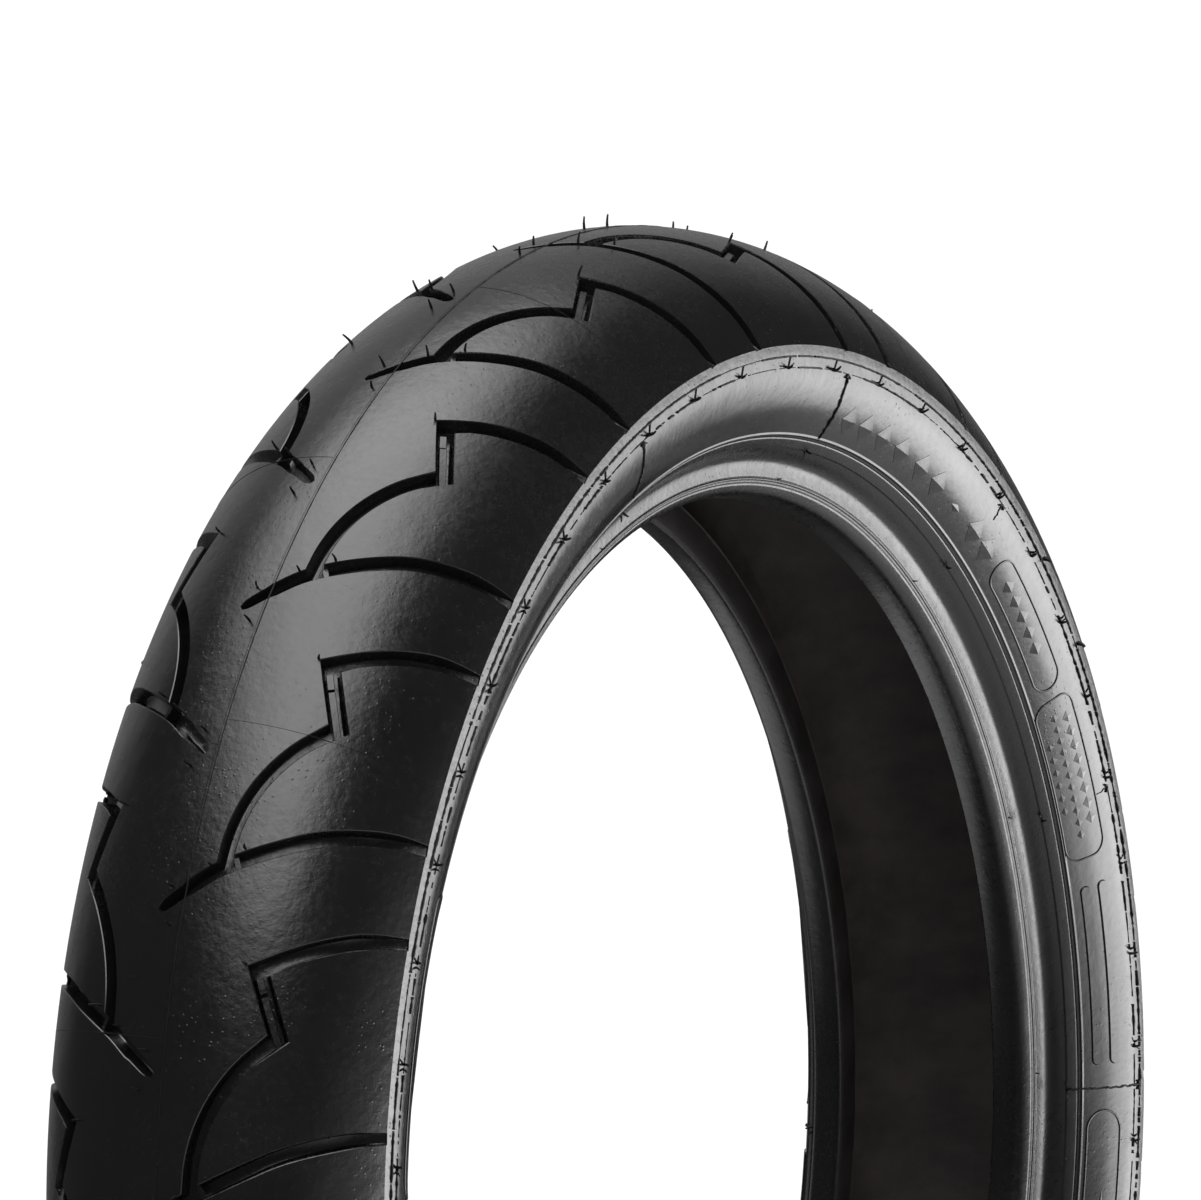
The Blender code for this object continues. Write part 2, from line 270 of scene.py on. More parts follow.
class SideOutline:
    """The sidewall and bead outline, measured by its drop below the tread edge."""

    def __init__(self):
        curve = smooth_curve(SIDEWALL_OUTLINE)
        whole = np.array(list(curve) + list(smooth_curve(HEEL, 3)[1:]) + [TOE])
        lengths = np.concatenate([[0.0], np.cumsum(np.hypot(*np.diff(whole, axis=0).T))])
        self.drop = lengths
        self.radius = whole[:, 0]
        self.side = whole[:, 1]
        slope = np.gradient(whole, lengths, axis=0)
        size = np.hypot(slope[:, 0], slope[:, 1])
        self.out_radius = slope[:, 1] / size
        self.out_side = -slope[:, 0] / size

    def drop_at(self, radius):
        """Drop at which the outline has a radius."""
        return float(np.interp(-radius, -self.radius, self.drop))

    def at(self, drop, height):
        """(radius, side) at a drop, a height above the surface."""
        out_radius = np.interp(drop, self.drop, self.out_radius)
        out_side = np.interp(drop, self.drop, self.out_side)
        radius = np.interp(drop, self.drop, self.radius) + out_radius * height
        side = np.interp(drop, self.drop, self.side) + out_side * height
        return float(radius), float(side)


OUTLINE = SideOutline()

# Sidewall features, as drops along the outline below the tread edge
OUTER_FLASH = OUTLINE.drop_at(265.2)
INNER_FLASH = OUTLINE.drop_at(261.4)
RIM_RIB = OUTLINE.drop_at(239.1)
RIM_GROOVE = OUTLINE.drop_at(237.75)
STEP_LINE = OUTLINE.drop_at(234.65)
HEEL_LINES = (OUTLINE.drop_at(224.4), OUTLINE.drop_at(223.1))
HEEL_MIDDLE = sum(HEEL_LINES) / 2.0


def spun(radius, side, angle):
    """World point, in metres, at an angle round the axle."""
    turn = math.radians(angle)
    return Vector((radius * math.sin(turn), side, radius * math.cos(turn))) * MM


class Tread:
    """Places points on the tread: angle round the axle, arc length across, height outwards.

    With side -1 the pattern is mirrored about MIRROR_LINE, onto the left half.
    """

    def __init__(self, phase=0.0, side=1):
        self.phase = phase
        self.side = side

    def point(self, angle, arc, height):
        if self.side < 0:
            arc = 2.0 * MIRROR_LINE - arc
        reach = ARC_RADIUS + height
        radius = ARC_CENTRE + reach * math.cos(arc / ARC_RADIUS)
        return spun(radius, -reach * math.sin(arc / ARC_RADIUS), angle + self.phase)

    def scale(self, arc):
        """Millimetres for one degree."""
        if self.side < 0:
            arc = 2.0 * MIRROR_LINE - arc
        return math.radians(ARC_CENTRE + ARC_RADIUS * math.cos(arc / ARC_RADIUS))


class Sidewall:
    """Places points on one sidewall: angle round the axle, drop below the tread edge, height."""

    def __init__(self, side, phase=0.0):
        self.side = side
        self.phase = phase

    def point(self, angle, drop, height):
        radius, side = OUTLINE.at(drop, height)
        return spun(radius, -side * self.side, angle * self.side + self.phase)

    def scale(self, drop):
        """Millimetres for one degree."""
        return math.radians(OUTLINE.at(drop, 0.0)[0])


# ---------------------------------------------------------------- mesh making


def shade(data, crease):
    """Smooth shading, with edges sharper than the crease angle kept sharp."""
    data.shade_smooth()
    data.set_sharp_from_angle(angle=math.radians(crease))


def make_object(name, mesh, material, crease=35.0, second_material=None):
    """Turn a bmesh into an object of the scene."""
    data = bpy.data.meshes.new(name)
    mesh.to_mesh(data)
    mesh.free()
    data.materials.append(material)
    if second_material:
        data.materials.append(second_material)
    shade(data, crease)
    made = bpy.data.objects.new(name, data)
    bpy.context.scene.collection.objects.link(made)
    return made


def turned_mesh(section, segments, wobble=None):
    """Closed (radius, side) section turned about the axle, facing out.

    wobble, if given, is a function of (side, angle) that returns a radial change.
    """
    area = sum(a[0] * b[1] - b[0] * a[1] for a, b in zip(section, section[1:] + section[:1]))
    outline = section if area > 0.0 else section[::-1]
    mesh = bmesh.new()
    rings = []
    for step in range(segments):
        angle = 360.0 * step / segments
        ring = []
        for radius, side in outline:
            grow = wobble(side, angle) if wobble else 0.0
            ring.append(mesh.verts.new(spun(radius + grow, side, angle)))
        rings.append(ring)
    count = len(outline)
    for near, far in zip(rings, rings[1:] + rings[:1]):
        for i in range(count):
            j = (i + 1) % count
            mesh.faces.new((near[i], far[i], far[j], near[j]))
    bmesh.ops.recalc_face_normals(mesh, faces=mesh.faces)
    return mesh


def offset_path(path, distance):
    """Path moved to its right by a distance, with mitred corners."""
    normals = []
    for (x0, y0), (x1, y1) in zip(path, path[1:]):
        length = math.hypot(x1 - x0, y1 - y0)
        normals.append(((y1 - y0) / length, -(x1 - x0) / length))
    moved = []
    for index, (x, y) in enumerate(path):
        before = normals[max(index - 1, 0)]
        after = normals[min(index, len(normals) - 1)]
        scale = distance / (1.0 + before[0] * after[0] + before[1] * after[1])
        moved.append((x + (before[0] + after[0]) * scale, y + (before[1] + after[1]) * scale))
    return moved


def ribbon(mesh, surface, path, section, closed=False, share=None):
    """Sweep a section along a path on a surface.

    path holds (angle, across) pairs and section holds (sideways, height) pairs. share, if given,
    scales the section at each point of the path, as (width, depth, height) shares.
    """
    scale = surface.scale(sum(p[1] for p in path) / len(path))
    flat = [(angle * scale, across) for angle, across in path]
    if closed:
        looped = [flat[-1]] + flat + [flat[0]]
        edge = offset_path(looped, 1.0)[1:-1]
    else:
        edge = offset_path(flat, 1.0)
    rings = []
    for index, ((x, y), (ex, ey)) in enumerate(zip(flat, edge)):
        wide, deep, tall = share[index] if share else (1.0, 1.0, 1.0)
        ring = []
        for sideways, height in section:
            across = y + (ey - y) * sideways * wide
            angle = x / scale + (ex - x) * sideways * wide / surface.scale(across)
            rise = height * (deep if height < 0.0 else tall)
            ring.append(mesh.verts.new(surface.point(angle, across, rise)))
        rings.append(ring)
    count = len(section)
    pairs = list(zip(rings, rings[1:]))
    if closed:
        pairs.append((rings[-1], rings[0]))
    for near, far in pairs:
        for i in range(count):
            j = (i + 1) % count
            mesh.faces.new((near[i], near[j], far[j], far[i]))
    if not closed:
        mesh.faces.new(rings[0][::-1])
        mesh.faces.new(rings[-1])


def tube(mesh, points, radii, sides=6):
    """Round tapered tube through points, closed at both ends."""
    rings = []
    for index, point in enumerate(points):
        ahead = points[min(index + 1, len(points) - 1)]
        behind = points[max(index - 1, 0)]
        along = (ahead - behind).normalized()
        across = along.orthogonal().normalized()
        other = along.cross(across)
        ring = []
        for i in range(sides):
            turn = 2.0 * math.pi * i / sides
            spoke = across * math.cos(turn) + other * math.sin(turn)
            ring.append(mesh.verts.new(point + spoke * radii[index]))
        rings.append(ring)
    for near, far in zip(rings, rings[1:]):
        for i in range(sides):
            j = (i + 1) % sides
            mesh.faces.new((near[i], near[j], far[j], far[i]))
    mesh.faces.new(rings[0][::-1])
    mesh.faces.new(rings[-1])


def hair(mesh, surface, angle, across, length, lean_angle, lean_across, thick):
    """Vent stalk: a thin tapered hair of rubber that stands on the surface and leans.

    The leans are in millimetres, round the axle and across, and thick is the radius at the foot.
    """
    points = []
    radii = []
    for i in range(5):
        share = i / 4.0
        bend = share * share
        turned = angle + lean_angle * bend / surface.scale(across)
        points.append(surface.point(turned, across + lean_across * bend, length * share + ROOT_DEPTH))
        radii.append(thick * (1.0 - 0.45 * share) * MM)
    tube(mesh, points, radii)


def raised_patch(mesh, surface, outline, height):
    """Relief with bevelled sides on a surface, inside a closed outline of (angle, across) points."""
    bevel = 0.3
    grid = 2.2
    shoulder_height = 0.08
    scale = surface.scale(sum(p[1] for p in outline) / len(outline))
    flat = [Vector((angle * scale, across)) for angle, across in outline]
    area = sum(a.x * b.y - b.x * a.y for a, b in zip(flat, flat[1:] + flat[:1]))
    if area < 0.0:
        flat.reverse()
    looped = [tuple(flat[-1])] + [tuple(p) for p in flat] + [tuple(flat[0])]
    inset = [Vector(p) for p in offset_path(looped, -bevel)[1:-1]]
    low = (min(p.x for p in inset), min(p.y for p in inset))
    high = (max(p.x for p in inset), max(p.y for p in inset))
    inner = []
    for i in range(1, int((high[0] - low[0]) / grid) + 1):
        for j in range(1, int((high[1] - low[1]) / grid) + 1):
            x = low[0] + i * grid - grid / 3.0
            inner.append(Vector((x, low[1] + j * grid - grid / 3.0)))
    count = len(inset)
    verts, _, faces, origin = delaunay_2d_cdt(inset + inner, [], [list(range(count))], 1, 1e-4)[:4]
    placed = {}
    top = []
    for vert, sources in zip(verts, origin):
        made = mesh.verts.new(surface.point(vert.x / scale, vert.y, height))
        top.append(made)
        for source in sources:
            placed[source] = made
    for face in faces:
        mesh.faces.new([top[i] for i in face])
    ring = [placed[i] for i in range(count)]
    shoulder = [mesh.verts.new(surface.point(p.x / scale, p.y, shoulder_height)) for p in flat]
    foot = [mesh.verts.new(surface.point(p.x / scale, p.y, ROOT_DEPTH)) for p in flat]
    for upper, lower in ((ring, shoulder), (shoulder, foot)):
        for i in range(count):
            j = (i + 1) % count
            mesh.faces.new((upper[i], lower[i], lower[j], upper[j]))
    mesh.faces.new(foot[::-1])


def dense(outline):
    """The same closed outline with its long runs split, so that it follows the curved surface."""
    longest = 0.6
    points = []
    for (a0, d0), (a1, d1) in zip(outline, outline[1:] + outline[:1]):
        steps = max(int(abs(a1 - a0) / longest), 1)
        points += [(a0 + (a1 - a0) * i / steps, d0 + (d1 - d0) * i / steps) for i in range(steps)]
    return points


def rounded_box(angles, drops, radius, scale, steps):
    """Closed outline of a box with round corners, as (angle, drop) points."""
    outline = []
    turn_in = radius / scale
    left, right = angles[0] + turn_in, angles[1] - turn_in
    upper, lower = drops[0] + radius, drops[1] - radius
    corners = ((right, lower, 0), (left, lower, 90), (left, upper, 180), (right, upper, 270))
    for centre_angle, centre_drop, start in corners:
        for i in range(steps + 1):
            turn = math.radians(start + 90.0 * i / steps)
            angle = centre_angle + turn_in * math.cos(turn)
            outline.append((angle, centre_drop + radius * math.sin(turn)))
    return dense(outline)


# ---------------------------------------------------------------- materials


class Nodes:
    """Short names for building a node material."""

    def __init__(self, name):
        self.material = bpy.data.materials.new(name)
        self.material.use_nodes = True
        self.tree = self.material.node_tree
        self.shader = self.tree.nodes["Principled BSDF"]
        self.coords = self.tree.nodes.new("ShaderNodeTexCoord").outputs["Object"]

    def node(self, kind, **settings):
        made = self.tree.nodes.new(kind)
        for key, value in settings.items():
            setattr(made, key, value)
        return made

    def put(self, source, name):
        """Feed an output, or set a plain value, into an input of the shader."""
        if isinstance(source, (int, float, tuple)):
            self.shader.inputs[name].default_value = source
        else:
            self.link(source, self.shader.inputs[name])

    def link(self, source, target):
        self.tree.links.new(source, target)

    def noise(self, scale, detail=3.0, roughness=0.5, coords=None):
        made = self.node("ShaderNodeTexNoise")
        self.link(coords or self.coords, made.inputs["Vector"])
        made.inputs["Scale"].default_value = scale
        made.inputs["Detail"].default_value = detail
        made.inputs["Roughness"].default_value = roughness
        return made.outputs["Fac"]

    def stretch(self, size):
        """Coordinates scaled by a size along each axis."""
        made = self.node("ShaderNodeMapping")
        self.link(self.coords, made.inputs["Vector"])
        made.inputs["Scale"].default_value = size
        return made.outputs["Vector"]

    def remap(self, value, low, high, to_low, to_high):
        made = self.node("ShaderNodeMapRange")
        self.link(value, made.inputs["Value"])
        made.inputs["From Min"].default_value = low
        made.inputs["From Max"].default_value = high
        made.inputs["To Min"].default_value = to_low
        made.inputs["To Max"].default_value = to_high
        return made.outputs["Result"]

    def math(self, operation, first, second):
        made = self.node("ShaderNodeMath", operation=operation)
        for slot, value in ((0, first), (1, second)):
            if isinstance(value, (int, float)):
                made.inputs[slot].default_value = value
            else:
                self.link(value, made.inputs[slot])
        return made.outputs["Value"]

    def mix(self, factor, first, second):
        made = self.node("ShaderNodeMix", data_type="RGBA")
        self.link(factor, made.inputs["Factor"])
        made.inputs["A"].default_value = (*first, 1.0)
        made.inputs["B"].default_value = (*second, 1.0)
        return made.outputs["Result"]

    def bump(self, height, strength, distance, normal=None):
        made = self.node("ShaderNodeBump")
        made.inputs["Strength"].default_value = strength
        made.inputs["Distance"].default_value = distance
        self.link(height, made.inputs["Height"])
        if normal:
            self.link(normal, made.inputs["Normal"])
        return made.outputs["Normal"]

    def axle_distance(self):
        """Distance from the axle, in metres."""
        split = self.node("ShaderNodeSeparateXYZ")
        self.link(self.coords, split.inputs["Vector"])
        squares = self.math("ADD", self.math("POWER", split.outputs["X"], 2.0),
                            self.math("POWER", split.outputs["Z"], 2.0))
        return self.math("SQRT", squares, 0.0)


def rubber(name, dark, light, gloss, peel, speck, shine=0.5):
    """Moulded rubber: patchy gloss, orange peel, and scattered specks of mould release."""
    n = Nodes(name)
    broad = n.noise(11.0, 5.0, 0.62)
    wave = n.noise(75.0)
    fine = n.noise(430.0, 5.0, 0.62)
    cells = n.node("ShaderNodeTexVoronoi")
    n.link(n.coords, cells.inputs["Vector"])
    cells.inputs["Scale"].default_value = 420.0
    patches = n.remap(n.noise(24.0, 4.0, 0.7), 0.46, 0.60, 0.0, 1.0)
    specks = n.math("MULTIPLY", n.remap(cells.outputs["Distance"], 0.08, 0.20, 1.0, 0.0), patches)
    n.put(n.mix(n.remap(broad, 0.3, 0.7, 0.0, 1.0), dark, light), "Base Color")
    smear = n.remap(broad, 0.35, 0.65, gloss[0], gloss[1])
    n.put(n.math("ADD", smear, n.remap(fine, 0.4, 0.75, -0.02, 0.08)), "Roughness")
    n.put(1.5, "IOR")
    n.put(shine, "Specular IOR Level")
    normal = n.bump(wave, peel, 0.0007)
    normal = n.bump(fine, peel, 0.0003, normal)
    if speck:
        normal = n.bump(specks, speck, 0.0004, normal)
    n.put(normal, "Normal")
    return n.material


def liner_rubber(name, dark, light):
    """Brown-black liner with faint blotches, a little longer across the cavity than round it."""
    n = Nodes(name)
    streak = n.noise(40.0, 6.0, 0.65, n.stretch((1.6, 0.8, 1.6)))
    fine = n.noise(300.0)
    n.put(n.mix(n.remap(streak, 0.38, 0.64, 0.0, 1.0), dark, light), "Base Color")
    n.put(n.remap(streak, 0.3, 0.7, 0.50, 0.68), "Roughness")
    n.put(1.42, "IOR")
    n.put(n.bump(fine, 0.25, 0.0003, n.bump(streak, 0.35, 0.0012)), "Normal")
    return n.material


def cord_fabric(name, thread, gum, pitch, angle):
    """Dipped cords side by side, with rubber between them."""
    n = Nodes(name)
    turn = n.node("ShaderNodeMapping")
    n.link(n.coords, turn.inputs["Vector"])
    turn.inputs["Rotation"].default_value = (0.0, 0.0, angle)
    wave = n.node("ShaderNodeTexWave", wave_type="BANDS")
    n.link(turn.outputs["Vector"], wave.inputs["Vector"])
    wave.inputs["Scale"].default_value = 0.32 / pitch
    wave.inputs["Distortion"].default_value = 0.6
    fuzz = n.noise(900.0)
    tone = n.math("MULTIPLY", wave.outputs["Fac"], n.remap(fuzz, 0.2, 0.8, 0.7, 1.0))
    n.put(n.mix(tone, gum, thread), "Base Color")
    n.put(0.75, "Roughness")
    n.put(n.bump(tone, 0.6, 0.0004), "Normal")
    return n.material


def bead_steel():
    """Bronze-coated wire, brushed round the axle."""
    n = Nodes("bead_steel")
    distance = n.node("ShaderNodeCombineXYZ")
    n.link(n.axle_distance(), distance.inputs["X"])
    rings = n.noise(900.0, 2.0, 0.5, distance.outputs["Vector"])
    n.put(n.mix(rings, (0.30, 0.19, 0.10), (0.62, 0.44, 0.26)), "Base Color")
    n.put(1.0, "Metallic")
    n.put(n.remap(rings, 0.3, 0.7, 0.25, 0.42), "Roughness")
    n.put(n.bump(rings, 0.4, 0.0002), "Normal")
    return n.material


BLACK = ((0.0045, 0.0045, 0.0048), (0.0070, 0.0070, 0.0073))
# Flash rubber black: darker than the tread black, as painted shade for the unlit sides of the thin
# flash ribs
FLASH_SHADE_BLACK = ((0.0035, 0.0035, 0.0037), (0.0050, 0.0050, 0.0053))
DARK_GREY = ((0.014, 0.014, 0.014), (0.022, 0.021, 0.020))
GUM = (0.02, 0.02, 0.02)
CHAFER_GUM = (0.03, 0.03, 0.03)

TREAD_RUBBER = rubber("tread_rubber", *BLACK, (0.18, 0.27), 0.42, 0.28)
SIDE_RUBBER = rubber("sidewall_rubber", *BLACK, (0.16, 0.24), 0.22, 0.22)
BEAD_RUBBER = rubber("bead_rubber", *BLACK, (0.22, 0.32), 0.35, 0.25)
# Flash: rougher matte finish, plus a darker colour and low specular as painted shade, so the thin ribs
# read as black lines
FLASH_RUBBER = rubber("flash_rubber", *FLASH_SHADE_BLACK, (0.50, 0.65), 0.30, 0.0, shine=0.2)
LINER_RUBBER = liner_rubber("liner_rubber", (0.036, 0.0290, 0.0287), (0.060, 0.0470, 0.0460))
TOE_RUBBER = liner_rubber("toe_rubber", (0.010, 0.0085, 0.0083), (0.018, 0.015, 0.0147))
PLY_FABRIC = cord_fabric("ply_fabric", (0.40, 0.31, 0.19), GUM, 0.0012, 0.35)
BREAKER_FABRIC = cord_fabric("breaker_fabric", (0.34, 0.27, 0.17), GUM, 0.0012, -0.35)
CHAFER_FABRIC = cord_fabric("chafer_fabric", (0.20, 0.17, 0.12), CHAFER_GUM, 0.0009, 0.8)
BASE_RUBBER = rubber("base_rubber", *DARK_GREY, (0.55, 0.70), 0.25, 0.0)
BEAD_STEEL = bead_steel()


# ---------------------------------------------------------------- tread


def tread_ring():
    """Whole tread surface down to the parting line on each sidewall, as a closed ring."""
    steps = 40
    outside = [tread_section(TREAD_EDGE * i / steps) for i in range(1 - steps, steps)]
    outside[steps:steps] = [tread_section(arc, height) for arc, height in SEAM_RIDGE]
    right_edge = [OUTLINE.at(drop, 0.0) for drop in SHOULDER_DROPS]
    left_edge = [(radius, -side) for radius, side in reversed(right_edge)]
    reach = ARC_RADIUS - TREAD_THICKNESS
    inside = []
    for angle in (50.0, 35.0, 18.0, 0.0, -18.0, -35.0, -50.0):
        turn = math.radians(angle)
        inside.append((ARC_CENTRE + reach * math.cos(turn), reach * math.sin(turn)))
    return turned_mesh(left_edge + outside + right_edge + inside, TREAD_SEGMENTS)


def groove_section(width, depth):
    """Half-widths and heights of a groove cutter: flared lip, drafted walls, round floor corners."""
    flare = 0.28
    corner = 1.0
    headroom = 0.9
    half = width / 2.0
    wall_foot = half - 0.04 * depth
    wall_end = -(depth - corner)
    right = [(half + flare, headroom), (half + flare, 0.0), (half, -flare), (wall_foot, wall_end)]
    if depth > 2.0 * corner:
        for i in range(1, 4):
            turn = math.radians(30.0 * i)
            inset = corner * (1.0 - math.cos(turn))
            right.append((wall_foot - inset, wall_end - corner * math.sin(turn)))
    else:
        right.append((wall_foot - 0.4, -depth))
    return right + [(-x, y) for x, y in reversed(right)]


def groove_path(points):
    return [tuple(p) for p in smooth_curve(points, 6)]


def part_of(path, low, high):
    """Stretch of a path between two arc lengths."""
    apart = 0.3
    angles, arcs = zip(*path)
    low, high = max(low, arcs[0]), min(high, arcs[-1])
    start, end = ((float(np.interp(arc, arcs, angles)), arc) for arc in (low, high))
    return [start] + [p for p in path if low + apart < p[1] < high - apart] + [end]


def groove_shares(path, widths=None):
    """(width, depth, height) shares along a groove, which runs out at the shoulder.

    widths, if given, holds a width share for some points of the path, by their number.
    """
    shares = []
    for index, (_, arc) in enumerate(path):
        fade = min(max((arc - 60.0) / 17.5, 0.0), 1.0)
        width = widths.get(index, 1.0) if widths else 1.0
        shares.append(((1.0 - 0.25 * fade) * width, 1.0 - 0.88 * fade * fade, 1.0))
    return shares


def along_step(share):
    """Point on the middle line of the step between the two sweeps."""
    return tuple(a + (b - a) * share for a, b in zip(FIRST_SWEEP[-1], LAST_SWEEP[0]))


def groove_cutters():
    """Each groove of one half pitch, as (path, section, shares)."""
    deep = groove_section(GROOVE_WIDTH, GROOVE_DEPTH)
    tie = groove_section(GROOVE_WIDTH, TIE_DEPTH)
    long_path = groove_path(LONG_GROOVE)
    upper = part_of(long_path, LONG_GROOVE[0][1], TIE_ARCS[0])
    lower = part_of(long_path, TIE_ARCS[1], LONG_GROOVE[-1][1])
    middle = part_of(long_path, *TIE_CUT)
    before = groove_path(FIRST_SWEEP)[:-SWEEP_TRIM]
    step = [along_step(i / (STEP_POINTS - 1.0)) for i in range(STEP_POINTS)]
    stepped = before + step + groove_path(LAST_SWEEP)[SWEEP_TRIM:]
    step_widths = {len(before) + i: STEP_WIDTH / GROOVE_WIDTH for i in range(STEP_POINTS)}
    return [
        (upper, deep, groove_shares(upper, LONG_GROOVE_TAPER)),
        (middle, tie, groove_shares(middle)),
        (lower, deep, groove_shares(lower)),
        (stepped, deep, groove_shares(stepped, step_widths)),
    ]


def pitches():
    """The tread surface at the start of each pitch, on both halves."""
    for phase, side in ((RIGHT_PHASE, 1), (LEFT_PHASE, -1)):
        for pitch in range(PITCHES):
            yield Tread(phase + pitch * PITCH_ANGLE, side)


def step_bars():
    """Wear bars that stand in the step of each stepped groove, in two blocks with a slot between."""
    half = STEP_BAR_WIDTH / 2.0
    bevel = 0.2
    root = ROOT_DEPTH - GROOVE_DEPTH
    mesh = bmesh.new()
    for surface in pitches():
        for low, high, top in STEP_BAR_BLOCKS:
            right = [(half - bevel, top), (half, top - bevel), (half, root)]
            section = [(-x, y) for x, y in reversed(right)] + right
            runs = [along_step(low + (high - low) * i / 6.0) for i in range(7)]
            path = [(angle, arc + STEP_BAR_SHIFT) for angle, arc in runs]
            ribbon(mesh, surface, path, section)
    bmesh.ops.recalc_face_normals(mesh, faces=mesh.faces)
    return make_object("tread_wear_bars", mesh, TREAD_RUBBER, TREAD_CREASE)


def cut_tread():
    """Tread ring with the grooves cut out of it."""
    ring = make_object("tread", tread_ring(), TREAD_RUBBER)
    cutters = []
    for kind, (path, section, shares) in enumerate(groove_cutters()):
        mesh = bmesh.new()
        for surface in pitches():
            ribbon(mesh, surface, path, section, share=shares)
        bmesh.ops.recalc_face_normals(mesh, faces=mesh.faces)
        cutter = make_object(f"groove_cutter_{kind}", mesh, TREAD_RUBBER)
        cutters.append(cutter)
        cut = ring.modifiers.new(cutter.name, "BOOLEAN")
        cut.operation = "DIFFERENCE"
        cut.solver = "MANIFOLD"
        cut.object = cutter
    bpy.context.view_layer.update()
    evaluated = ring.evaluated_get(bpy.context.evaluated_depsgraph_get())
    data = bpy.data.meshes.new_from_object(evaluated)
    ring.modifiers.clear()
    old = ring.data
    ring.data = data
    bpy.data.meshes.remove(old)
    for cutter in cutters:
        bpy.data.objects.remove(cutter)
    shade(data, TREAD_CREASE)
    return ring


def torn(count, least=0.35):
    """Uneven heights along a line of torn flash, as shares for a ribbon."""
    return [(1.0, 1.0, random.uniform(least, 1.0)) for _ in range(count)]


def tread_flash():
    """Joints of the mould segments across the tread, the seam round its middle, and vent stalks."""
    mesh = bmesh.new()
    whole = Tread()
    arcs = range(1, 74, 2)
    for k in range(int(360.0 / JOINT_PITCH)):
        right = FIRST_JOINT + JOINT_PITCH * k
        left = right + JOINT_PITCH / 2.0
        ribbon(mesh, whole, [(right - JOINT_TILT * arc, arc) for arc in arcs], JOINT_LINE)
        ribbon(mesh, whole, [(left + JOINT_TILT * arc, -arc) for arc in arcs], JOINT_LINE)
    ring = [(0.5 * step, SEAM_ARC) for step in range(721)]
    ribbon(mesh, whole, ring, SEAM_FLASH, share=torn(len(ring), 0.3))
    for surface in pitches():
        for angle, arc in STALK_SPOTS:
            length = random.uniform(2.4, 4.4)
            lean = random.uniform(-0.7, 0.7), random.uniform(-0.6, 0.6)
            if surface.point(angle, arc, length).z > FLOOR_HEIGHT:
                hair(mesh, surface, angle, arc, length, *lean, 0.52)
    return make_object("tread_flash", mesh, FLASH_RUBBER)


# ---------------------------------------------------------------- sidewalls


def swell(drop, middle, height, width):
    """Height of a soft ridge, or of a groove where height is negative."""
    return height * math.exp(-((drop - middle) / width) ** 2)


def relief(drop):
    """Height of the ribs, grooves and steps that run right round a sidewall."""
    height = swell(drop, RIM_RIB, 0.36, 0.42) + swell(drop, RIM_GROOVE, -0.20, 0.24)
    height -= 0.22 / (1.0 + math.exp(-(drop - STEP_LINE) / 0.12))
    for line in HEEL_LINES:
        height += swell(drop, line, -0.20, 0.22)
    return height + swell(drop, HEEL_MIDDLE, 0.10, 0.25)


def outline_points(start, end, step):
    """Points of the outline with its relief, between two drops."""
    count = max(int(round((end - start) / step)), 1)
    drops = [start + (end - start) * i / count for i in range(count + 1)]
    return [OUTLINE.at(drop, relief(drop)) for drop in drops]


def side_ring(side, outside, inside):
    """Ring of the right or left side, from the points of its outer and inner face."""
    section = [(radius, -distance * side) for radius, distance in (*outside, *inside)]
    return turned_mesh(section, SIDE_SEGMENTS)


def sidewall_ring(side):
    """Outer sidewall, from the parting line down to the rim line."""
    outside = []
    for stretch in SIDEWALL_STRETCHES:
        outside += outline_points(*stretch)
    outside += outline_points(SIDEWALL_FINE[0], RIM_GROOVE, SIDEWALL_FINE[1])
    return side_ring(side, outside, SIDEWALL_INSIDE)


def bead_ring(side):
    """Bead: from the rim line over the flange face and heel to the seat and toe."""
    outside = outline_points(RIM_GROOVE + 0.02, *BEAD_FINE)
    for stretch in BEAD_STRETCHES:
        outside += outline_points(*stretch)
    outside += [OUTLINE.at(drop, 0.0) for drop in OUTLINE.drop if drop > BEAD_HEEL_START]
    mesh = side_ring(side, outside, BEAD_INSIDE)
    for face in mesh.faces:
        if abs(face.calc_center_median().y) < TOE_SIDE * MM:
            face.material_index = 1
    return mesh


def flash_rings(mesh, surface):
    """Two rings of mould flash near the parting line, broken at random."""
    kinds = ((OUTER_FLASH, 0.9, (0.05, 0.1, 0.25)), (INNER_FLASH, 0.4, (0.12, 0.25, 0.6)))
    for drop, boldness, gaps in kinds:
        angle = 0.0
        while angle < 359.0:
            end = min(angle + random.choice((0.25, 0.4, 0.7, 1.2, 2.4, 3.6)), 359.5)
            steps = max(int((end - angle) / 0.25), 2)
            path = [(angle + (end - angle) * i / steps, drop + random.uniform(-0.06, 0.06))
                    for i in range(steps + 1)]
            section = BOLD_FLASH if random.random() < boldness else THIN_FLASH
            ribbon(mesh, surface, path, section, share=torn(steps + 1))
            angle = end + random.choice(gaps)


def flash_vents(mesh, surface):
    """Vents between the two rings of flash: a short slanted line and two stalks at each."""
    across = INNER_FLASH - OUTER_FLASH
    for i in range(VENTS):
        angle = FIRST_VENT + 360.0 / VENTS * i
        path = [(angle + 0.25 - 0.35 * (k / 4.0), OUTER_FLASH + across * k / 4.0) for k in range(5)]
        ribbon(mesh, surface, path, THIN_FLASH)
        hair(mesh, surface, angle - 0.05, INNER_FLASH, random.uniform(2.0, 3.0),
             random.uniform(-0.8, 0.2), random.uniform(-1.8, -0.6), 0.58)
        hair(mesh, surface, angle - 0.4, INNER_FLASH - 0.4, random.uniform(1.5, 2.6),
             random.uniform(-1.8, -0.6), random.uniform(-1.0, 0.2), 0.50)


